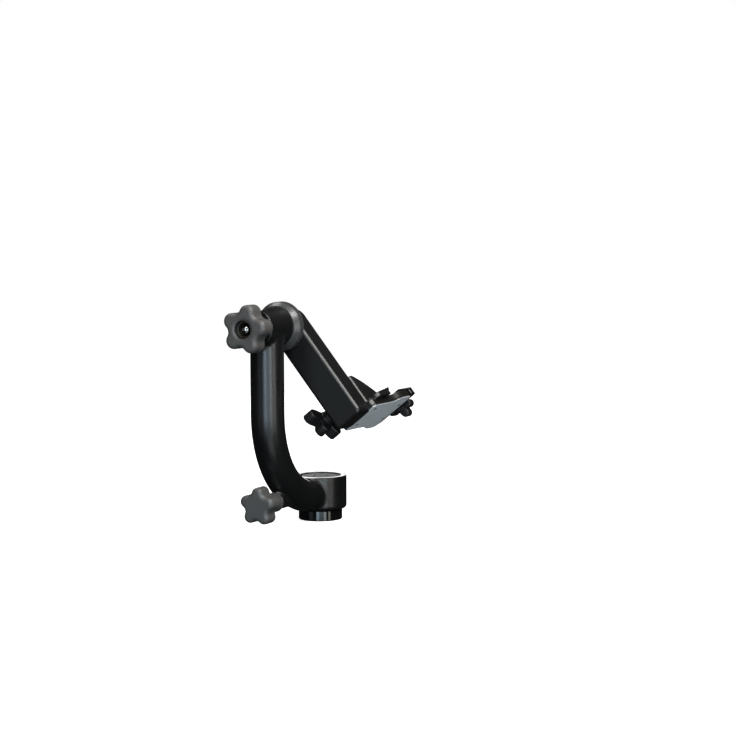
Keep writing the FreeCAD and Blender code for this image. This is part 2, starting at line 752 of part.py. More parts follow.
def bed(inset, z0, z1):
    """The platform's plan, narrow at the leg and swelling to the clamp end."""
    near = BED_HALF_NEAR - inset
    far = BED_HALF_FAR - inset
    end = PLATFORM_END - inset
    corner = BED_CORNER - inset
    nip = corner * (1.0 - math.sqrt(0.5))
    half = [(leg_near + inset, 0), (leg_near + inset, near - 3.0), (leg_near + inset + 3.0, near),
            (SWELL_START, near)]
    half += swell(SWELL_START, near, SWELL_END, far)
    half += [(end - corner, far), (end - nip, far - nip, end, far - corner), (end, 0)]
    return both_sides(prism_z(half, z0, z1))


def platform_bracket():
    body = prism_y(bracket_profile(), -LEG_HALF, LEG_HALF)
    body = body.fuse(bed(0.0, -bed_low, -floor))
    body = body.fuse(fixed_jaw()).removeSplitter()
    body = soften(body, LEG_EDGE, lambda p, e: abs(p.x - leg_near) < 0.01
                  and abs(abs(p.y) - LEG_HALF) < 0.01)
    body = body.cut(rail_channel())
    body = body.cut(stop_pocket())
    body = body.cut(rod_x(-30, PLATFORM_END + 1, SCREW_R + RUN, 0, -screw_deep))
    for y in (-PIN_Y, PIN_Y):
        body = body.cut(rod_x(4, PLATFORM_END + 1, PIN_R + SEAT, y, -pin_deep))
    body = body.cut(rod_y(8, LEG_HALF + 1, HEIGHT_STUD_R + RUN, stud_x, -lock_deep))
    for x, y in plate_screw_spots():
        body = body.cut(rod_z(-bed_low - 1, -bed_low + 4, PLATE_SCREW_R + SEAT, x, y))
    return swung(body.removeSplitter())


def rail_channel():
    """The slot the rail runs in, with a pocket along its +Y side for the gib."""
    far = rail_top + RAIL_GAP
    wall = RAIL_TIP + GIB_WALL + 0.6
    return prism_z([(bar_far - 0.5, -RAIL_ROOT - RAIL_GAP), (far, -RAIL_TIP - RAIL_GAP - 0.1),
                    (far, wall), (bar_far - 0.5, wall)], -BAR_END - 15, -leg_top + 20)


def stop_pocket():
    """The pocket in the bracket's foot that comes down over the rail's lower stop screw."""
    half = STOP_HEAD_R + FREE
    top = stop_spots()[0] + STOP_HEAD_R + FREE
    return box(rail_top, rail_top + STOP_HEAD_HIGH + FREE, -half, half, -underside - 1, top)


def height_gib():
    """The strip that the height lock presses against the rail's flank."""
    x0 = leg_near + 0.1
    slope = (RAIL_TIP - RAIL_ROOT) / RAIL_HIGH
    low = -lock_deep - GIB_LONG / 2.0
    wall = RAIL_TIP + GIB_WALL
    section = [(x0, RAIL_ROOT + RAIL_GAP + slope * (x0 - bar_far)),
               (rail_top, RAIL_TIP + RAIL_GAP), (rail_top, wall), (x0, wall)]
    return swung(prism_z(section, low, low + GIB_LONG))


def height_knob():
    knob = winged_knob(24.0, 11.0, 11.0, 6.5, 8.0, 150.0)
    knob = knob.cut(rod_z(-1, 16, HEIGHT_STUD_R + SEAT))
    knob.rotate(V(0, 0, 0), V(1, 0, 0), -90.0)
    knob.translate(V(stud_x, HEIGHT_KNOB_Y, -lock_deep))
    return swung(knob)


def height_stud():
    return swung(rod_y(RAIL_TIP + GIB_WALL, HEIGHT_KNOB_Y + 16.0, HEIGHT_STUD_R, stud_x, -lock_deep))


def plate_screw_spots():
    return [(-42.0, -14.0), (-42.0, 14.0), (18.0, -12.0), (18.0, 12.0)]


def platform_plate():
    low = -underside
    plate = bed(PLATE_INSET, low, low + PLATE_THICK)
    stop_room = rail_top + STOP_HEAD_HIGH + FREE
    plate = plate.cut(box(leg_near - 5, stop_room, -12, 14, low - 1, low + 3))
    for x, y in plate_screw_spots():
        cone = Part.makeCone(2.4, PLATE_SCREW_R + SEAT, 1.15, V(x, y, low), V(0, 0, 1))
        plate = plate.cut(cone).cut(rod_z(low - 1, low + 3, PLATE_SCREW_R + SEAT, x, y))
    return swung(plate)


def plate_screws():
    screws = []
    low = -underside
    for x, y in plate_screw_spots():
        screw = Part.makeCone(2.3, PLATE_SCREW_R, 1.05, V(x, y, low + 0.05), V(0, 0, 1))
        screw = screw.fuse(rod_z(low + 0.5, low + 4.6, PLATE_SCREW_R, x, y))
        screw = screw.cut(rod_z(low - 1, low + 0.7, 0.8, x, y))
        screws.append(screw.removeSplitter())
    return swung(Part.makeCompound(screws))


# ---------------------------------------------------------------- plate clamp
def clamp_jaw():
    """The moving jaw: a lipped bar over the floor, a low block and a lug for the screw."""
    over_floor = -floor + 0.1
    points = [(jaw_inner, -jaw_low), (jaw_inner, over_floor), (DOVETAIL_HALF, over_floor),
              (DOVETAIL_HALF, -jaw_top - LIP_EDGE - LIP), (lip_x, -jaw_top - LIP_EDGE),
              (lip_x, -jaw_top), (jaw_outer, -jaw_top), (jaw_outer, -jaw_low)]
    jaw = prism_y(points, -JAW_HALF, JAW_HALF)
    jaw = soften(jaw, JAW_CORNER, lambda p, e: abs(p.x - jaw_outer) < 0.01
                 and abs(abs(p.y) - JAW_HALF) < 0.01)
    jaw = soften(jaw, 1.6, lambda p, e: p.x > jaw_outer - JAW_CORNER - 1
                 and abs(p.z + jaw_top) < 0.01 and e.Length > 2)
    lug = box(jaw_inner, jaw_outer, -LUG_HALF, LUG_HALF, -underside + 0.3, -jaw_low + 1)
    lug = soften(lug, 2.0, lambda p, e: abs(p.z + underside - 0.3) < 0.01 and abs(abs(p.y) - LUG_HALF) < 0.01)
    jaw = jaw.fuse(lug).removeSplitter()
    end = JAW_HALF + 1.0
    drop = JAW_END_DROP * (JAW_END_RUN + 1.0) / JAW_END_RUN
    wedge = [(JAW_HALF - JAW_END_RUN, -jaw_top), (JAW_HALF - JAW_END_RUN, -jaw_top + 5),
             (end, -jaw_top + 5), (end, -jaw_top - drop)]
    jaw = jaw.cut(prism_x(wedge, lip_x - 1, jaw_outer + 1))
    jaw = jaw.cut(prism_x([(-y, z) for y, z in wedge], lip_x - 1, jaw_outer + 1))
    jaw = jaw.cut(rod_x(jaw_inner - 1, jaw_outer + 1, SCREW_R + RUN, 0, -screw_deep))
    for y in (-PIN_Y, PIN_Y):
        jaw = jaw.cut(rod_x(jaw_inner - 1, jaw_outer - 1.5, PIN_R + RUN, y, -pin_deep))
    return swung(jaw.removeSplitter())


def guide_pins():
    pins = [rod_x(4.0, jaw_outer - 4.0, PIN_R, y, -pin_deep) for y in (-PIN_Y, PIN_Y)]
    return swung(Part.makeCompound(pins))


def clamp_washer():
    return swung(ring_x(jaw_outer, jaw_outer + 1.0, SCREW_R + RUN, 5.0, 0, -screw_deep))


def clamp_screw():
    return swung(rod_x(-20, jaw_outer + 13.0, SCREW_R, 0, -screw_deep))


def clamp_knob():
    knob = winged_knob(15.5, 9.0, 10.0, 5.5, 3.0, -69.0)
    knob = knob.cut(rod_z(-1, 12.1, SCREW_R + SEAT))
    knob.rotate(V(0, 0, 0), V(0, 1, 0), 90.0)
    knob.translate(V(jaw_outer + 1.0, 0, -screw_deep))
    return swung(knob)


PIECES = {
    "pan_base": pan_base,
    "tripod_thread_insert": tripod_thread_insert,
    "pan_inner_races": pan_inner_races,
    "pan_brake_drum": pan_brake_drum,
    "pan_lock_washer": pan_lock_washer,
    "pan_lock_nut": pan_lock_nut,
    "pan_outer_races": pan_outer_races,
    "j_arm": j_arm,
    "pan_cap": pan_cap,
    "pan_lock_bush": pan_lock_bush,
    "pan_brake_shoe": pan_brake_shoe,
    "pan_knob": pan_knob,
    "pan_knob_stud": pan_knob_stud,
    "tilt_outer_races": tilt_outer_races,
    "tilt_inner_races": tilt_inner_races,
    "tilt_spacer": tilt_spacer,
    "tilt_axle": tilt_axle,
    "tilt_cap_screw": tilt_cap_screw,
    "tilt_thrust_washer": tilt_thrust_washer,
    "tilt_knob": tilt_knob,
    "tilt_knob_insert": tilt_knob_insert,
    "tilt_friction_washer": tilt_friction_washer,
    "tilt_flange": tilt_flange,
    "tilt_groove_ring": tilt_groove_ring,
    "swing_arm": swing_arm,
    "height_rail": height_rail,
    "rail_screws": rail_screws,
    "arm_screws": arm_screws,
    "axle_end_screw": axle_end_screw,
    "rail_stop_screws": rail_stop_screws,
    "platform_bracket": platform_bracket,
    "platform_plate": platform_plate,
    "plate_screws": plate_screws,
    "height_gib": height_gib,
    "height_stud": height_stud,
    "height_knob": height_knob,
    "clamp_jaw": clamp_jaw,
    "guide_pins": guide_pins,
    "clamp_washer": clamp_washer,
    "clamp_screw": clamp_screw,
    "clamp_knob": clamp_knob,
}

for name, make in PIECES.items():
    make().exportStep("parts/" + name + ".step")
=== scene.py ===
import bmesh
import bpy
import json
import math
from mathutils import Matrix, Quaternion, Vector


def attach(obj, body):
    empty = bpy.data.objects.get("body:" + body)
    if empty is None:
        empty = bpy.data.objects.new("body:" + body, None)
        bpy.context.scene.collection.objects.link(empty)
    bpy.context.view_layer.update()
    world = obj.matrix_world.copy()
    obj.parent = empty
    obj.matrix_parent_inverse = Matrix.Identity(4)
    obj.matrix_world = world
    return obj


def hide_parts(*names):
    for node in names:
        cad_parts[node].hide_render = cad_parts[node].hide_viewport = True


# Looks of the gimbal tripod head.  Metres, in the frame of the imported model: +Z up, the pan axis is
# Z, the tilt axis is parallel to X.  The swing arm hangs from the tilt axis, swung towards -Y.

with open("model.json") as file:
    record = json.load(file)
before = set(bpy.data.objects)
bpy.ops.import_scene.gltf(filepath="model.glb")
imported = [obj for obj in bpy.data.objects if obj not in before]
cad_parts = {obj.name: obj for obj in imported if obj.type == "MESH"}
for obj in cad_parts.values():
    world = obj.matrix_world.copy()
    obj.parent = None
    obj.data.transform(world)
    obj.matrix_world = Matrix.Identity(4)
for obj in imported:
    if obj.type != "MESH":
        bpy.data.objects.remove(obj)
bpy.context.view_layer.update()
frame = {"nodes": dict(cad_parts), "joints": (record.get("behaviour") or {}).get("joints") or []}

MM = 0.001

# ------------------------------------------------------------------ directions, from the frame
joints = {joint["name"]: joint for joint in frame["joints"]}
TILT_CENTRE = Vector(joints["tilt"]["pos_m"])
ARM_UP = Vector(joints["platform_height"]["axis"]).normalized()
ACROSS = Vector((1.0, 0.0, 0.0))
REARWARD = ARM_UP.cross(ACROSS).normalized()
UP = Vector((0.0, 0.0, 1.0))


def swung(x, rear, up):
    """A point given in the hanging arm's own directions, in millimetres from the tilt axis."""
    return Vector((0, TILT_CENTRE.y, TILT_CENTRE.z)) + (ACROSS * x + REARWARD * rear + ARM_UP * up) * MM


PAN_POINT = Vector((0, 0, 0))
TILT_POINT = swung(0, 0, 0)
LOCK_POINT = Vector((0, 0, joints["pan_knob_turn"]["pos_m"][2]))

# ------------------------------------------------------------------ stations and sizes in the CAD
# Millimetres.  X is counted from the pan axis and heights from the tripod.  On the hanging arm, REAR
# and UP are its own directions, counted from the tilt axis.
HOUSING_R = 29.0
HOUSING_TOP = 48.4
PAN_KNOB_MID_X = -131.6
TILT_KNOB_MID_X = -153.95
BAR_FAR_X = -57.0
ARM_SCREW_SEAT_X = BAR_FAR_X - 4.4
ARM_SCREW_REACH = 10.6
AXLE_SCREW_SEAT_X = BAR_FAR_X - 3.6
RAIL_TOP_X = -53.0
RAIL_SCREWS_UP = (-105.6, -75.6, -45.6)
RAIL_STOPS_UP = (-122.5, -29.6)
UNDERSIDE_UP = -124.3
PLATE_SCREWS_X_REAR = ((-42.0, -14.0), (-42.0, 14.0), (18.0, -12.0), (18.0, 12.0))
HEIGHT_SCREW_X = -52.1
HEIGHT_SCREW_UP = -101.0
HEIGHT_THREAD_REAR = 13.5
HEIGHT_KNOB_REAR = 27.0
CLAMP_SCREW_UP = -119.4
CLAMP_THREAD_X = -20.0
CLAMP_KNOB_X = 39.5
INSERT_R = 7.5
INSERT_LONG = 12.0

# ------------------------------------------------------------------ camera and lights
# Degrees and metres; the lens is in millimetres
VIEW_TURN = 28.43
VIEW_RISE = 5.66
VIEW_FAR = 1.936
VIEW_LENS = 86.2
VIEW_ROLL = -0.25
VIEW_CENTRE = Vector((0.0, 0.0, 0.120))
VIEW_RIGHT = 0.0532
VIEW_ABOVE = 0.0456


def towards_camera():
    turn = math.radians(VIEW_TURN)
    rise = math.radians(VIEW_RISE)
    return Vector((-math.cos(turn) * math.cos(rise), -math.sin(turn) * math.cos(rise), math.sin(rise)))


def make_camera():
    back = towards_camera()
    right = UP.cross(back).normalized()
    above = back.cross(right)
    place = VIEW_CENTRE + back * VIEW_FAR
    aim = VIEW_CENTRE + right * VIEW_RIGHT + above * VIEW_ABOVE
    data = bpy.data.cameras.new("camera")
    data.lens = VIEW_LENS
    data.sensor_width = 36.0
    data.clip_end = 50.0
    camera = bpy.data.objects.new("camera", data)
    bpy.context.scene.collection.objects.link(camera)
    camera.rotation_mode = "QUATERNION"
    camera.location = place
    turn = (aim - place).to_track_quat("-Z", "Y")
    camera.rotation_quaternion = turn @ Quaternion((0, 0, 1), math.radians(VIEW_ROLL))
    bpy.context.scene.camera = camera


make_camera()
bpy.context.scene.view_settings.view_transform = "Standard"

LIGHT_AIM = Vector((-0.05, -0.02, 0.12))
LIGHT_FAR = 1.6

# Name, turn and rise in degrees, width and height in metres, watts, colour.  Black metal shows little
# but what it mirrors, so the lights stand where its faces and rounded edges mirror them.
LIGHTS = (
    ("window_side", -52, 2, 0.60, 0.90, 0.7, (0.80, 0.92, 1.0)),
    ("window_front", -14, 2, 0.44, 0.90, 8.8, (0.66, 0.84, 1.0)),
    ("window_bar", 5, 2, 0.50, 0.90, 3.4, (0.72, 0.88, 1.0)),
    ("strip_right", 24, 2, 0.40, 0.90, 7.2, (0.86, 0.96, 1.0)),
    ("strip_far_right", 49, 2, 0.30, 0.90, 3.6, (1.0, 0.98, 0.90)),
    ("overhead_left", -11, 30, 0.50, 0.35, 6.0, (1.0, 0.99, 0.96)),
    ("overhead", 24, 46, 0.70, 0.55, 17.0, (1.0, 0.99, 0.95)),
    ("overhead_right", 62, 51, 0.60, 0.45, 12.0, (1.0, 0.99, 0.95)),
    ("behind_low", 180, 5, 0.60, 0.16, 1.1, (1.0, 1.0, 1.0)),
    ("floor_bounce", 10, -32, 0.90, 0.50, 1.6, (0.94, 0.97, 1.0)),
    ("behind_left", -128, 58, 0.60, 0.60, 7.0, (1.0, 1.0, 1.0)),
    ("behind_right", 118, 68, 0.60, 0.60, 9.0, (1.0, 1.0, 1.0)),
)


def soft_light(name, turn, rise, wide, high, watts, colour):
    """A rectangular soft light; turn is counted round the head from the camera, to its right."""
    back = towards_camera()
    angle = math.atan2(back.y, back.x) + math.radians(turn)
    up = math.radians(rise)
    away = Vector((math.cos(angle) * math.cos(up), math.sin(angle) * math.cos(up), math.sin(up)))
    data = bpy.data.lights.new(name, "AREA")
    data.shape = "RECTANGLE"
    data.size = wide
    data.size_y = high
    data.energy = watts
    data.color = colour
    light = bpy.data.objects.new(name, data)
    light.visible_camera = False
    bpy.context.scene.collection.objects.link(light)
    light.location = LIGHT_AIM + away * LIGHT_FAR
    light.rotation_mode = "QUATERNION"
    light.rotation_quaternion = (-away).to_track_quat("-Z", "Y")


for light in LIGHTS:
    soft_light(*light)


# ------------------------------------------------------------------ the way finishes are written
class Amount:
    """A number that varies over a surface; sums of it become Math nodes."""

    def __init__(self, finish, socket):
        self.finish = finish
        self.socket = socket

    def __add__(self, other):
        return self.finish.maths("ADD", self, other)

    def __radd__(self, other):
        return self.finish.maths("ADD", other, self)

    def __sub__(self, other):
        return self.finish.maths("SUBTRACT", self, other)

    def __rsub__(self, other):
        return self.finish.maths("SUBTRACT", other, self)

    def __mul__(self, other):
        return self.finish.maths("MULTIPLY", self, other)

    def __rmul__(self, other):
        return self.finish.maths("MULTIPLY", other, self)

    def between(self, low, high):
        """0 at low and below, 1 at high and above, eased in between."""
        return self.finish.node(
            "ShaderNodeMapRange",
            {"interpolation_type": "SMOOTHSTEP"},
            {"Value": self, "From Min": low, "From Max": high},
            "Result",
        )


class Finish:
    """Builds the nodes of one material."""

    def __init__(self, name):
        self.material = bpy.data.materials.new(name)
        self.material.use_nodes = True
        self.tree = self.material.node_tree
        self.tree.nodes.clear()
        self.place = self.node("ShaderNodeTexCoord", {}, {}, "Object")

    def node(self, kind, settings, inputs, output):
        """One node: its settings first, then its sockets' values or links; gives one output."""
        made = self.tree.nodes.new(kind)
        for key, value in settings.items():
            setattr(made, key, value)
        for key, value in inputs.items():
            socket = made.inputs[key]
            if isinstance(value, Amount):
                self.tree.links.new(value.socket, socket)
            else:
                socket.default_value = value
        return Amount(self, made.outputs[output])

    def maths(self, operation, first, second=0.0):
        return self.node("ShaderNodeMath", {"operation": operation}, {0: first, 1: second}, 0)

    def vector_maths(self, operation, first, second=(0, 0, 0), output="Vector"):
        return self.node("ShaderNodeVectorMath", {"operation": operation}, {0: first, 1: second}, output)

    def combined(self, x, y, z=0.0):
        return self.node("ShaderNodeCombineXYZ", {}, {"X": x, "Y": y, "Z": z}, "Vector")

    def along(self, direction):
        """How far a point lies along a direction, in metres."""
        return self.vector_maths("DOT_PRODUCT", self.place, tuple(direction), "Value")

    def from_axis(self, point, direction):
        """How far a point lies from the line through point along direction, in metres."""
        offset = self.vector_maths("SUBTRACT", self.place, tuple(point))
        crossed = self.vector_maths("CROSS_PRODUCT", offset, tuple(direction))
        return self.vector_maths("LENGTH", crossed, output="Value")

    def noise(self, scale, detail=3.0, rough=0.5, place=None):
        """Noise of about scale grains to the metre, or to the unit of a place of its own."""
        return self.node(
            "ShaderNodeTexNoise",
            {"noise_dimensions": "3D"},
            {"Vector": place or self.place, "Scale": scale, "Detail": detail, "Roughness": rough},
            "Fac",
        )

    def stretched(self, first, second, third):
        """The place measured three ways, each given as a direction and its scale."""
        x, y, z = [self.along(direction) * scale for direction, scale in (first, second, third)]
        return self.combined(x, y, z)

    def cells(self, scale):
        """Small round cells, about scale to the metre."""
        return self.node(
            "ShaderNodeTexVoronoi",
            {"feature": "F1"},
            {"Vector": self.place, "Scale": scale},
            "Distance",
        )

    def softened(self, radius):
        """The surface's normal as if its edges were rounded to the radius."""
        return self.node("ShaderNodeBevel", {"samples": 8}, {"Radius": radius}, "Normal")

    def edges(self, radius):
        """0 on open surfaces, rising to 1 on edges and in corners."""
        normal = self.node("ShaderNodeNewGeometry", {}, {}, "Normal")
        return 1 - self.vector_maths("DOT_PRODUCT", self.softened(radius), normal, "Value")

    def rubbed(self, radius, gain, scuffs, low=0.25):
        """Where hands and cloths have worn the edges, broken up by scuffs."""
        return (self.edges(radius) * gain * scuffs).between(low, 1.0)

    def mix(self, share, first, second):
        """Two colours mixed by a share that varies."""
        return self.node("ShaderNodeMix", {"data_type": "RGBA"}, {0: share, 6: first, 7: second}, 2)

    def bump(self, height, depth, soft=0.0):
        """A normal pushed by height times depth, in metres, over edges softened by a radius."""
        inputs = {"Height": height, "Strength": 1.0, "Distance": depth}
        if soft:
            inputs["Normal"] = self.softened(soft)
        return self.node("ShaderNodeBump", {}, inputs, "Normal")

    def surface(self, **inputs):
        """Ends the material; the names are the shader's own with _ for a space."""
        named = {key.replace("_", " "): value for key, value in inputs.items()}
        shader = self.node("ShaderNodeBsdfPrincipled", {}, named, "BSDF")
        end = self.tree.nodes.new("ShaderNodeOutputMaterial")
        self.tree.links.new(shader.socket, end.inputs["Surface"])
        return self.material


def grey(level, warm=0.0):
    """A near-neutral colour; warm shifts it towards brown, or towards blue below zero."""
    return (level * (1 + warm), level, level * (1 - warm), 1.0)


def shade(red, green, blue, bright=1.0):
    return (red * bright, green * bright, blue * bright, 1.0)


# ------------------------------------------------------------------ finishes
# Level is how much light a colour gives back and rough how dull a surface is, both from 0 to 1.
# The sizes of marks are in millimetres.
FACED_STEP = 0.15
FACED_FADE = 0.6
FACED_LESS_ROUGH = 0.19
PARTING_LINE_WIDE = 0.12
PLASTIC_GRAIN_DEEP = 0.06
# The tilt knob's recess is painted dark as shade out to RECESS_SHADE_R; the face's slope starts there.
RECESS_SHADE_R = 9.3
RECESS_SHADE_FADE = 0.5
RECESS_SLOPE_WIDE = 3.4
RECESS_SLOPE_DEEP = 0.96


def blasted_anodising(name, level, rough, warm, soft, faced=None):
    """Cast or milled aluminium, bead-blasted and black anodised, rubbed grey on its edges.

    Soft is the radius, in millimetres, that the edges look rounded to.  Faced is the height, in
    millimetres, from which the pan housing's rim was turned smooth.
    """
    f = Finish(name)
    if faced:
        reach = f.from_axis(PAN_POINT, UP)
        housing = 1 - reach.between(HOUSING_R * MM, (HOUSING_R + FACED_FADE) * MM)
        rim = f.along(UP).between((faced - FACED_STEP) * MM, faced * MM)
        rough = rough - housing * rim * FACED_LESS_ROUGH
    grain = f.noise(2600.0, detail=2.0)
    cloud = f.noise(34.0, detail=4.0, rough=0.6)
    rubbed = f.rubbed(0.8 * MM, 2.2, f.noise(240.0).between(0.42, 0.62))
    base = f.mix(cloud, grey(level * 0.75, warm + 0.05), grey(level * 1.3, warm - 0.05))
    return f.surface(
        Base_Color=f.mix(rubbed * 0.4, base, grey(0.12, 0.02)),
        Roughness=rough + (cloud - 0.5) * 0.14 + (grain - 0.5) * 0.08 - rubbed * 0.06,
        IOR=1.5,
        Normal=f.bump(grain * 0.7 + cloud * 0.3, 0.04 * MM, soft * MM),
    )


def extruded_anodising(name):
    """The swing arm's bar: black anodised over the fine lengthwise lines of the extrusion."""
    f = Finish(name)
    place = f.stretched((ACROSS, 900.0), (REARWARD, 900.0), (ARM_UP, 12.0))
    lines = f.noise(1.0, rough=0.6, place=place)
    cloud = f.noise(30.0, detail=4.0, rough=0.6)
    grain = f.noise(2400.0, detail=2.0)
    rubbed = f.rubbed(0.8 * MM, 2.2, f.noise(260.0).between(0.4, 0.62))
    base = f.mix(cloud, grey(0.003, 0.02), grey(0.006))
    return f.surface(
        Base_Color=f.mix(rubbed * 0.4, base, grey(0.14)),
        Roughness=0.33 + (lines - 0.5) * 0.16 + (cloud - 0.5) * 0.12 - rubbed * 0.06,
        IOR=1.5,
        Normal=f.bump(lines * 0.6 + grain * 0.2, 0.05 * MM, 2.2 * MM),
    )


def turned_finish(name, centre, direction, low, high, rough, depth, metal=0.0, pitch=0.35):
    """Turned in a lathe: fine rings round an axis, on the faces and on the rims alike.

    Depth and pitch of the rings are in millimetres; low and high are the levels they run between.
    """
    f = Finish(name)
    turns = 1.0 / (pitch * MM)
    place = f.combined(f.from_axis(centre, direction) * turns, f.along(direction) * turns)
    rings = f.noise(1.0, detail=4.0, rough=0.7, place=place)
    cloud = f.noise(45.0)
    rubbed = f.rubbed(0.5 * MM, 2.4, f.noise(300.0).between(0.38, 0.6))
    base = f.mix(rings * 0.6 + cloud * 0.4, grey(low), grey(high, -0.01))
    return f.surface(
        Base_Color=f.mix(rubbed * 0.35, base, grey(min(0.6, high * 2.0 + 0.1))),
        Roughness=rough + (rings - 0.5) * 0.16 + (cloud - 0.5) * 0.08,
        Metallic=metal,
        IOR=1.5,
        Normal=f.bump(rings, depth * MM, 0.2 * MM),
    )


def brushed_anodising(name, along, side, level, face=None):
    """Clear-anodised aluminium, brushed one way; side lies across the brushing.

    Face is where a sheet's outer face lies, up the arm from the tilt axis, in millimetres; the
    sheet's rim above it is painted dark as shade, so that it doesn't catch the light.
    """
    f = Finish(name)
    place = f.stretched((along, 55.0), (side, 2600.0), (along.cross(side), 2600.0))
    brush = f.noise(1.0, detail=4.0, rough=0.65, place=place)
    cloud = f.noise(28.0)
    base = f.mix(brush * 0.5 + cloud * 0.5, grey(level * 0.80, -0.04), grey(level * 1.15, -0.05))
    if face:
        above_face = f.along(ARM_UP) - swung(0, 0, face).dot(ARM_UP)
        # Painted shade: the rim above the sheet's face is darkened so that it doesn't catch the light.
        rim = above_face.between(0.10 * MM, 0.35 * MM)
        base = f.mix(rim * 0.95, base, grey(0.01))
    return f.surface(
        Base_Color=base,
        Roughness=0.34 + (brush - 0.5) * 0.24 + (cloud - 0.5) * 0.10,
        Metallic=0.10,
        Normal=f.bump(brush, 0.02 * MM, 0.15 * MM),
    )


def moulded_plastic(name, level, rough, warm=0.0, mid_x=None, recess=None):
    """Moulded knob plastic: fine leathery grain, hands' polish on the edges.

    A parting line runs round it at mid_x.  Recess is how far out from the tilt axis the knob's recess is
    painted dark as shade, and past it the face seems to slope in.  Both are in millimetres.
    """
    f = Finish(name)
    pits = f.cells(1500.0)
    fine = f.noise(3200.0, detail=2.0)
    cloud = f.noise(60.0)
    polish = f.edges(1.6 * MM).between(0.05, 0.5)
    height = pits * 0.7 + fine * 0.3
    if mid_x is not None:
        off = f.maths("ABSOLUTE", f.along(ACROSS) - mid_x * MM)
        height = height + (1 - off.between(0.0, PARTING_LINE_WIDE * MM)) * 0.9
    base = f.mix(cloud, grey(level * 0.85, warm), grey(level * 1.15, warm))
    base = f.mix(polish * 0.3, base, grey(level * 1.5, warm))
    if recess:
        reach = f.from_axis(TILT_POINT, ACROSS)
        # inside is the recess, where shade is painted into the colour below
        inside = 1 - reach.between(recess * MM, (recess + RECESS_SHADE_FADE) * MM)
        slope = reach.between(recess * MM, (recess + RECESS_SLOPE_WIDE) * MM)
        height = height + slope * (RECESS_SLOPE_DEEP / PLASTIC_GRAIN_DEEP)
        # Painted shade: the recess is darkened in the colour, standing in for its shadow.
        base = f.mix(inside * 0.85, base, grey(level * 0.08, warm))
    return f.surface(
        Base_Color=base,
        Roughness=rough + (cloud - 0.5) * 0.12 + (fine - 0.5) * 0.10 - polish * 0.12,
        IOR=1.47,
        Normal=f.bump(height, PLASTIC_GRAIN_DEEP * MM, 1.2 * MM),
    )


def machine_steel(name, low, high, rough, warm=0.0, metal=1.0):
    """Plain machined or plated steel with faint handling marks."""
    f = Finish(name)
    marks = f.noise(700.0, detail=4.0, rough=0.7)
    cloud = f.noise(90.0)
    rubbed = f.rubbed(0.4 * MM, 2.0, f.noise(420.0, detail=2.0), low=0.2)
    base = f.mix(marks * 0.4 + cloud * 0.6, grey(low, warm), grey(high, warm))
    return f.surface(
        Base_Color=f.mix(rubbed * 0.3, base, grey(min(0.75, high * 1.6 + 0.05), warm)),
        Roughness=rough + (marks - 0.5) * 0.14 + (cloud - 0.5) * 0.08,
        Metallic=metal,
        Normal=f.bump(marks, 0.01 * MM, 0.12 * MM),
    )


def machined_brass(name, bright=1.0):
    """Brass, left machined, or painted dark as shade where bright is low, as in the tilt knob's recess.
    """
    f = Finish(name)
    marks = f.noise(800.0, detail=4.0, rough=0.7)
    stain = f.noise(70.0, detail=4.0).between(0.45, 0.75)
    base = f.mix(marks, shade(0.62, 0.44, 0.17, bright), shade(0.76, 0.58, 0.26, bright))
    return f.surface(
        Base_Color=f.mix(stain * 0.5, base, shade(0.36, 0.24, 0.10, bright)),
        Roughness=0.30 + stain * 0.15 + (marks - 0.5) * 0.12,
        Metallic=1.0,
        Normal=f.bump(marks, 0.01 * MM, 0.15 * MM),
    )


def slippery_plastic(name):
    """The off-white low-friction washer."""
    f = Finish(name)
    cloud = f.noise(120.0)
    return f.surface(
        Base_Color=f.mix(cloud, shade(0.55, 0.53, 0.47), shade(0.68, 0.66, 0.60)),
        Roughness=0.42 + (cloud - 0.5) * 0.1,
        Normal=f.bump(f.noise(1800.0, detail=2.0), 0.01 * MM, 0.1 * MM),
    )


def floor_paper():
    """White paper, lit from all round so that it runs into the white surroundings."""
    f = Finish("floor_paper")
    far = f.vector_maths("LENGTH", f.place, output="Value").between(0.2, 1.2)
    fibres = f.noise(900.0)
    return f.surface(
        Base_Color=f.mix(fibres, grey(0.76), grey(0.80)),
        Roughness=0.8 + (fibres - 0.5) * 0.1,
        Emission_Color=f.mix(far, grey(0.80), grey(1.0)),
        Emission_Strength=1.0,
        Normal=f.bump(fibres, 0.02 * MM),
    )


cast_black = blasted_anodising(
    "cast_black", level=0.004, rough=0.30, warm=0.02, soft=3.0, faced=HOUSING_TOP)
milled_black = blasted_anodising("milled_black", level=0.005, rough=0.34, warm=0.06, soft=1.9)
bar_black = extruded_anodising("bar_black")
foot_black = turned_finish(
    "foot_black", PAN_POINT, UP, low=0.002, high=0.004, rough=0.10, depth=0.004, pitch=0.6)
cap_black = turned_finish(
    "cap_black", PAN_POINT, UP, low=0.004, high=0.009, rough=0.42, depth=0.012)
ring_black = turned_finish(
    "ring_black", TILT_POINT, ACROSS, low=0.026, high=0.055, rough=0.26, depth=0.020)
flange_grey = turned_finish(
    "flange_grey", TILT_POINT, ACROSS, low=0.045, high=0.10, rough=0.32, depth=0.05, metal=0.5, pitch=0.6)
bush_clear = turned_finish(
    "bush_clear", LOCK_POINT, ACROSS, low=0.30, high=0.42, rough=0.30, depth=0.015, metal=0.9)
plate_clear = brushed_anodising("plate_clear", ACROSS, REARWARD, level=0.86, face=UNDERSIDE_UP)
rail_clear = brushed_anodising("rail_clear", ARM_UP, REARWARD, level=0.46)
tilt_plastic = moulded_plastic(
    "tilt_plastic", level=0.056, rough=0.46, warm=0.05, mid_x=TILT_KNOB_MID_X, recess=RECESS_SHADE_R)
pan_plastic = moulded_plastic(
    "pan_plastic", level=0.056, rough=0.46, warm=0.02, mid_x=PAN_KNOB_MID_X)
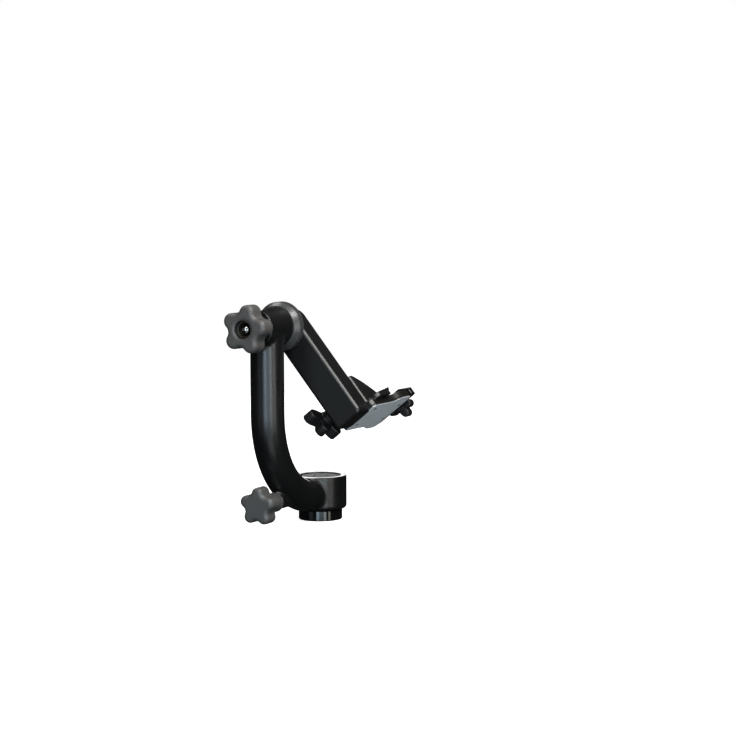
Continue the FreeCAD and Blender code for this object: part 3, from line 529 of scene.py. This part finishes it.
wing_plastic = moulded_plastic("wing_plastic", level=0.008, rough=0.38)
turned_steel = machine_steel("turned_steel", low=0.42, high=0.56, rough=0.28)
ground_steel = machine_steel("ground_steel", low=0.50, high=0.62, rough=0.18)
zinc_steel = machine_steel("zinc_steel", low=0.40, high=0.52, rough=0.34, warm=-0.02)
chrome_dome = machine_steel("chrome_dome", low=0.16, high=0.22, rough=0.13, warm=0.04)
black_oxide = machine_steel("black_oxide", low=0.018, high=0.030, rough=0.36, metal=0.6)
lock_brass = machined_brass("lock_brass")
# The tilt knob's insert sits in its recess, so its brass is painted dark as shade.
painted_shade_brass = machined_brass("painted_shade_brass", bright=0.12)
washer_white = slippery_plastic("washer_white")

NODE_FINISH = {
    "pan_base": foot_black,
    "tripod_thread_insert": turned_steel,
    "pan_inner_races": ground_steel,
    "pan_brake_drum": ground_steel,
    "pan_lock_washer": zinc_steel,
    "pan_lock_nut": zinc_steel,
    "pan_outer_races": ground_steel,
    "j_arm": cast_black,
    "pan_cap": cap_black,
    "pan_lock_bush": bush_clear,
    "pan_brake_shoe": lock_brass,
    "pan_knob": pan_plastic,
    "pan_knob_stud": turned_steel,
    "tilt_outer_races": ground_steel,
    "tilt_inner_races": ground_steel,
    "tilt_spacer": ground_steel,
    "tilt_axle": turned_steel,
    "tilt_cap_screw": chrome_dome,
    "tilt_thrust_washer": zinc_steel,
    "tilt_knob": tilt_plastic,
    "tilt_knob_insert": painted_shade_brass,
    "tilt_friction_washer": washer_white,
    "tilt_flange": flange_grey,
    "tilt_groove_ring": ring_black,
    "swing_arm": bar_black,
    "height_rail": rail_clear,
    "rail_screws": black_oxide,
    "arm_screws": black_oxide,
    "axle_end_screw": black_oxide,
    "rail_stop_screws": black_oxide,
    "platform_bracket": milled_black,
    "platform_plate": plate_clear,
    "plate_screws": black_oxide,
    "height_gib": lock_brass,
    "height_stud": turned_steel,
    "height_knob": wing_plastic,
    "clamp_jaw": milled_black,
    "guide_pins": ground_steel,
    "clamp_washer": zinc_steel,
    "clamp_screw": turned_steel,
    "clamp_knob": wing_plastic,
}

for name, node in frame["nodes"].items():
    node.data.materials.clear()
    node.data.materials.append(NODE_FINISH[name])


# ------------------------------------------------------------------ forms made ring by ring
# Sizes are millimetres unless a name says metres, and a form's own +Z runs along its axis
SHARP_FROM_DEGREES = 32.0


def standing(point, direction):
    """Carries local +Z, from the origin, to the direction at the point."""
    return Matrix.Translation(point) @ direction.to_track_quat("Z", "Y").to_matrix().to_4x4()


def knob_place(point, axis, zero):
    """Carries local +Z to the axis at the point, and local +X, where angle 0 lies, to zero."""
    side = axis.cross(zero)
    turn = Matrix((zero, side, axis)).transposed().to_4x4()
    return Matrix.Translation(point) @ turn


def ring_of(form, place, height, reaches):
    """A ring of points at a height, at their own distances from the axis; one point is a tip."""
    ring = []
    for k, reach in enumerate(reaches):
        angle = 2 * math.pi * k / len(reaches)
        spot = Vector((reach * math.cos(angle), reach * math.sin(angle), height)) * MM
        ring.append(form.verts.new(place @ spot))
    return ring


def join_rings(form, one, two):
    """Adds the faces between two rings of as many points, or between a ring and a tip of one point."""
    count = max(len(one), len(two))
    for k in range(count):
        n = (k + 1) % count
        if len(one) == 1:
            form.faces.new((one[0], two[n], two[k]))
        elif len(two) == 1:
            form.faces.new((one[k], one[n], two[0]))
        else:
            form.faces.new((one[k], one[n], two[n], two[k]))


def join_all(form, rings):
    """Adds the faces from each ring to the next."""
    for one, two in zip(rings, rings[1:]):
        join_rings(form, one, two)


def finished_piece(form, name, node, body, finish, place=None):
    """Makes the piece from its form: it stands for the CAD node and rides on the body.

    A form made at the origin is carried to its place here, after its faces are turned outwards: a
    thread that is placed first comes out inside out.
    """
    bmesh.ops.recalc_face_normals(form, faces=form.faces[:])
    if place is not None:
        form.transform(place)
    mesh = bpy.data.meshes.new(name)
    form.to_mesh(mesh)
    form.free()
    mesh.materials.append(finish)
    for face in mesh.polygons:
        face.use_smooth = True
    mesh.set_sharp_from_angle(angle=math.radians(SHARP_FROM_DEGREES))
    piece = bpy.data.objects.new(name, mesh)
    bpy.context.scene.collection.objects.link(piece)
    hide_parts(node)
    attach(piece, body)


# ------------------------------------------------------------------ screws with hexagon sockets
def hexagon(half_flats, angle):
    """The distance from the centre to a hexagon's side, in the direction of an angle."""
    return half_flats / math.cos((angle + math.pi / 6) % (math.pi / 3) - math.pi / 6)


def turned(form, place, rows, sides=48):
    """Adds a closed turned solid: rows of (height, radius, six) from tip to tip.

    A radius of 0 closes the form; six is True where the row is a hexagon of that half width.
    """
    rings = []
    for height, radius, six in rows:
        if radius == 0:
            reaches = [0.0]
        elif six:
            reaches = [hexagon(radius, 2 * math.pi * k / sides) for k in range(sides)]
        else:
            reaches = [radius] * sides
        rings.append(ring_of(form, place, height, reaches))
    join_all(form, rings)


def socket_rows(top, half_flats, depth, flare=1.22, chamfer=0.22):
    """The hexagon socket in a screw's head, from its round mouth down to its drilled floor."""
    return [
        (top, half_flats * flare, False),
        (top - chamfer, half_flats, True),
        (top - depth, half_flats, True),
        (top - depth - half_flats * 0.35, 0, False),
    ]


def stem_rows(length, radius, chamfer=0.3):
    """A screw's stem, from its tip up to where its full radius starts."""
    return [
        (-length, 0, False),
        (-length, radius - chamfer, False),
        (-length + chamfer, radius, False),
    ]


def cap_screw(form, place, stem_long, stem_r, head_r, head_high, half_flats):
    """A screw with a cylinder head; local height 0 is where the head bears."""
    rows = stem_rows(stem_long, stem_r) + [
        (0.0, stem_r, False),
        (0.0, head_r - 0.15, False),
        (0.15, head_r, False),
        (head_high - 0.35, head_r, False),
        (head_high - 0.10, head_r - 0.10, False),
        (head_high, head_r - 0.35, False),
    ]
    turned(form, place, rows + socket_rows(head_high, half_flats, head_high * 0.55))


def flush_screw(form, place, stem_long, stem_r, head_r, cone_high, half_flats):
    """A countersunk screw whose flat top is at local height 0."""
    rows = [(height - cone_high, radius, six) for height, radius, six in stem_rows(stem_long, stem_r)]
    rows += [
        (-cone_high, stem_r, False),
        (-0.20, head_r, False),
        (-0.06, head_r, False),
        (0.0, head_r - 0.08, False),
    ]
    turned(form, place, rows + socket_rows(0.0, half_flats, cone_high * 0.65))


def dome_screw(form, place, stem_long, stem_r, head_r, head_high, half_flats):
    """A screw with a low rounded head; local height 0 is where the head bears."""
    steps = 5
    arc = math.radians(57.5)
    rows = stem_rows(stem_long, stem_r, chamfer=0.2) + [(0.0, stem_r, False), (0.0, head_r, False)]
    for k in range(1, steps + 1):
        a = arc * k / steps
        rows.append((head_high * math.sin(a) / math.sin(arc), head_r * math.cos(a) ** 0.9, False))
    turned(form, place, rows + socket_rows(head_high, half_flats, head_high * 0.6, flare=1.2))


def make_arm_screws():
    form = bmesh.new()
    for k in range(4):
        a = math.radians(45 + 90 * k)
        spot = swung(ARM_SCREW_SEAT_X, ARM_SCREW_REACH * math.cos(a), ARM_SCREW_REACH * math.sin(a))
        cap_screw(form, standing(spot, ACROSS),
                  stem_long=31.6, stem_r=2.0, head_r=3.5, head_high=4.0, half_flats=1.5)
    finished_piece(form, "arm_socket_screws", "arm_screws", "cradle", black_oxide)


def make_axle_end_screw():
    form = bmesh.new()
    cap_screw(form, standing(swung(AXLE_SCREW_SEAT_X, 0, 0), ACROSS),
              stem_long=21.4, stem_r=3.0, head_r=5.6, head_high=3.2, half_flats=2.5)
    finished_piece(form, "axle_end_socket_screw", "axle_end_screw", "cradle", black_oxide)


def make_rail_screws():
    sunk = 0.3
    form = bmesh.new()
    for up in RAIL_SCREWS_UP:
        flush_screw(form, standing(swung(RAIL_TOP_X - sunk, 0, up), ACROSS),
                    stem_long=10.0, stem_r=1.5, head_r=2.9, cone_high=1.4, half_flats=1.0)
    finished_piece(form, "rail_flush_screws", "rail_screws", "cradle", black_oxide)


def make_stop_screws():
    form = bmesh.new()
    for up in RAIL_STOPS_UP:
        dome_screw(form, standing(swung(RAIL_TOP_X, 0, up), ACROSS),
                   stem_long=7.6, stem_r=1.25, head_r=2.2, head_high=1.8, half_flats=0.75)
    finished_piece(form, "rail_stop_button_screws", "rail_stop_screws", "cradle", black_oxide)


def make_plate_screws():
    sunk = 0.05
    form = bmesh.new()
    for x, rear in PLATE_SCREWS_X_REAR:
        flush_screw(form, standing(swung(x, rear, UNDERSIDE_UP + sunk), -ARM_UP),
                    stem_long=3.5, stem_r=1.25, head_r=2.3, cone_high=1.05, half_flats=0.8)
    finished_piece(form, "plate_flush_screws", "plate_screws", "carriage", black_oxide)


# ------------------------------------------------------------------ threads
# One turn of a thread's outline: share of the pitch, share of the way from root to crest
THREAD_SHAPE = ((0.0, 0.0), (0.25, 0.0), (0.5625, 1.0), (0.6875, 1.0))
SAME_SPOT_METRES = 1e-7


def helix(form, length, pitch, root, crest, lead, sides=32):
    """Adds a thread's skin between height 0 and length; returns the rings of its two ends.

    The rows follow the helix, so a turn's last column joins its first one pitch further up.
    Rows past an end fold onto it.  Lead is how far the thread takes to rise from an end.
    """
    steps = len(THREAD_SHAPE)
    pitches = int(length / pitch) + 4
    columns = []
    for k in range(sides):
        angle = 2 * math.pi * k / sides
        column = []
        for row in range(pitches * steps):
            share, rise = THREAD_SHAPE[row % steps]
            height = max(0.0, min(length, pitch * (row // steps + share + k / sides - 1.5)))
            taper = min(1.0, min(height, length - height) / lead)
            reach = root + (crest - root) * rise * taper
            column.append(form.verts.new(
                Vector((reach * math.cos(angle), reach * math.sin(angle), height)) * MM))
        columns.append(column)
    for k in range(sides):
        here = columns[k]
        there = columns[(k + 1) % sides]
        shift = steps if k == sides - 1 else 0
        for row in range((pitches - 1) * steps - 1):
            form.faces.new((here[row], there[row + shift], there[row + 1 + shift], here[row + 1]))
    bmesh.ops.remove_doubles(form, verts=form.verts[:], dist=SAME_SPOT_METRES)
    loose = [vert for vert in form.verts if not vert.link_faces]
    bmesh.ops.delete(form, geom=loose, context="VERTS")
    ends = []
    for height in (0.0, length):
        ring = [vert for vert in form.verts if abs(vert.co.z - height * MM) < SAME_SPOT_METRES]
        ends.append(sorted(ring, key=lambda vert: math.atan2(vert.co.y, vert.co.x)))
    return ends


def threaded_rod(name, node, body, place, length, pitch, root, crest):
    """A length of outside thread, closed at both ends."""
    form = bmesh.new()
    for end in helix(form, length, pitch, root, crest, lead=0.6):
        form.faces.new(end)
    finished_piece(form, name, node, body, turned_steel, place)


def make_height_thread():
    start = swung(HEIGHT_SCREW_X, HEIGHT_THREAD_REAR, HEIGHT_SCREW_UP)
    threaded_rod("height_thread", "height_stud", "height_lock", standing(start, REARWARD),
                 length=29.5, pitch=1.0, root=2.4, crest=3.0)


def make_clamp_thread():
    start = swung(CLAMP_THREAD_X, 0, CLAMP_SCREW_UP)
    threaded_rod("clamp_thread", "clamp_screw", "clamp_lock", standing(start, ACROSS),
                 length=71.5, pitch=0.8, root=2.0, crest=2.5)


def make_threaded_insert():
    """The steel bush in the foot, with its 3/8 inch thread of 16 turns to the inch cut through."""
    major = 4.76
    pitch = 25.4 / 16
    form = bmesh.new()
    ends = helix(form, INSERT_LONG, pitch, root=major, crest=4.0, lead=0.8, sides=72)
    widened = Matrix.Diagonal((INSERT_R / major, INSERT_R / major, 1.0))
    rims = [[form.verts.new(widened @ vert.co) for vert in end] for end in ends]
    join_all(form, (ends[0], rims[0], rims[1], ends[1]))
    finished_piece(form, "threaded_insert", "tripod_thread_insert", "base", turned_steel)


# ------------------------------------------------------------------ winged knobs
def winged_outline(wings, half, hub, sides=180):
    """The distances round a knob whose wings are (angle in degrees, reach) and 2 * half wide."""
    near_quarter_turn = 1.5
    tiny = 1e-6
    reaches = []
    for k in range(sides):
        angle = 2 * math.pi * k / sides
        reach = hub
        for turn, long in wings:
            off = (angle - math.radians(turn) + math.pi) % (2 * math.pi) - math.pi
            if abs(off) > near_quarter_turn:
                continue
            stem = long - half
            side = half / max(abs(math.sin(off)), tiny)
            if side * math.cos(off) > stem:
                side = stem * math.cos(off) + math.sqrt(max(0, half ** 2 - (stem * math.sin(off)) ** 2))
            reach = max(reach, side)
        reaches.append(reach)
    for _ in range(3):
        reaches = [(reaches[k - 1] + 2 * reach + reaches[(k + 1) % sides]) / 4
                   for k, reach in enumerate(reaches)]
    return reaches


def winged_knob(name, node, body, place, wings, half, hub, neck, low, high, round_off=1.2):
    """A moulded knob on local height 0: its neck, its wings from low to high, and its shallow dish."""
    outline = winged_outline(wings, half, hub)
    corner = [math.radians(22.5 * k) for k in range(5)]
    form = bmesh.new()

    def tip(height):
        return ring_of(form, place, height, [0.0])

    def circle(height, radius):
        return ring_of(form, place, height, [radius] * len(outline))

    def winged(height, a):
        inset = round_off * (1 - math.cos(a))
        return ring_of(form, place, height, [reach - inset for reach in outline])

    rings = [tip(0.0), circle(0.0, neck - 0.4), circle(0.4, neck)]
    rings += [circle(low - 0.6, neck), circle(low, neck + 0.6)]
    rings += [winged(low + round_off * (1 - math.sin(a)), a) for a in reversed(corner)]
    rings += [winged(high - round_off * (1 - math.sin(a)), a) for a in corner]
    rings += [circle(high - 0.1, hub * 0.78), circle(high - 0.5, hub * 0.62), tip(high - 0.5)]
    join_all(form, rings)
    finished_piece(form, name, node, body, wing_plastic)


def make_height_knob():
    """Three wings; angle 0 lies towards +X."""
    place = knob_place(swung(HEIGHT_SCREW_X, HEIGHT_KNOB_REAR, HEIGHT_SCREW_UP), REARWARD, ACROSS)
    winged_knob("height_wing_knob", "height_knob", "height_lock", place,
                wings=((71.0, 20.5), (148.5, 21.0), (206.5, 26.5)),
                half=6.0, hub=9.5, neck=8.5, low=5.5, high=18.0)


def make_clamp_knob():
    """Four small wings; angle 0 lies towards the arm's front."""
    place = knob_place(swung(CLAMP_KNOB_X, 0, CLAMP_SCREW_UP), ACROSS, -REARWARD)
    winged_knob("clamp_wing_knob", "clamp_knob", "clamp_lock", place,
                wings=((-64.0, 15.5), (21.0, 15.5), (79.0, 15.5), (176.0, 14.8)),
                half=4.6, hub=6.5, neck=5.5, low=2.4, high=13.0)


make_arm_screws()
make_axle_end_screw()
make_rail_screws()
make_stop_screws()
make_plate_screws()
make_threaded_insert()
make_height_thread()
make_clamp_thread()
make_height_knob()
make_clamp_knob()


# ------------------------------------------------------------------ floor and surroundings
FLOOR_R_METRES = 9.0
SURROUND_GLOW = 0.02


def make_floor():
    """The floor is seen, but the head's black faces don't mirror it."""
    mesh = bpy.data.meshes.new("floor")
    form = bmesh.new()
    bmesh.ops.create_circle(form, cap_ends=True, segments=96, radius=FLOOR_R_METRES)
    form.to_mesh(mesh)
    form.free()
    floor = bpy.data.objects.new("floor", mesh)
    bpy.context.scene.collection.objects.link(floor)
    mesh.materials.append(floor_paper())
    floor.visible_glossy = False
    floor.visible_diffuse = False
    floor.visible_shadow = False


def make_surroundings():
    """White where the camera looks past the head, dim where the head mirrors or is lit by it."""
    world = bpy.data.worlds.new("studio")
    world.use_nodes = True
    tree = world.node_tree
    tree.nodes.clear()
    path = tree.nodes.new("ShaderNodeLightPath")
    dim = tree.nodes.new("ShaderNodeBackground")
    dim.inputs["Color"].default_value = (0.93, 0.96, 1.0, 1.0)
    dim.inputs["Strength"].default_value = SURROUND_GLOW
    pale = tree.nodes.new("ShaderNodeBackground")
    pale.inputs["Color"].default_value = (1.0, 1.0, 1.0, 1.0)
    pale.inputs["Strength"].default_value = 1.0
    either = tree.nodes.new("ShaderNodeMixShader")
    end = tree.nodes.new("ShaderNodeOutputWorld")
    tree.links.new(path.outputs["Is Camera Ray"], either.inputs[0])
    tree.links.new(dim.outputs[0], either.inputs[1])
    tree.links.new(pale.outputs[0], either.inputs[2])
    tree.links.new(either.outputs[0], end.inputs["Surface"])
    bpy.context.scene.world = world


make_floor()
make_surroundings()
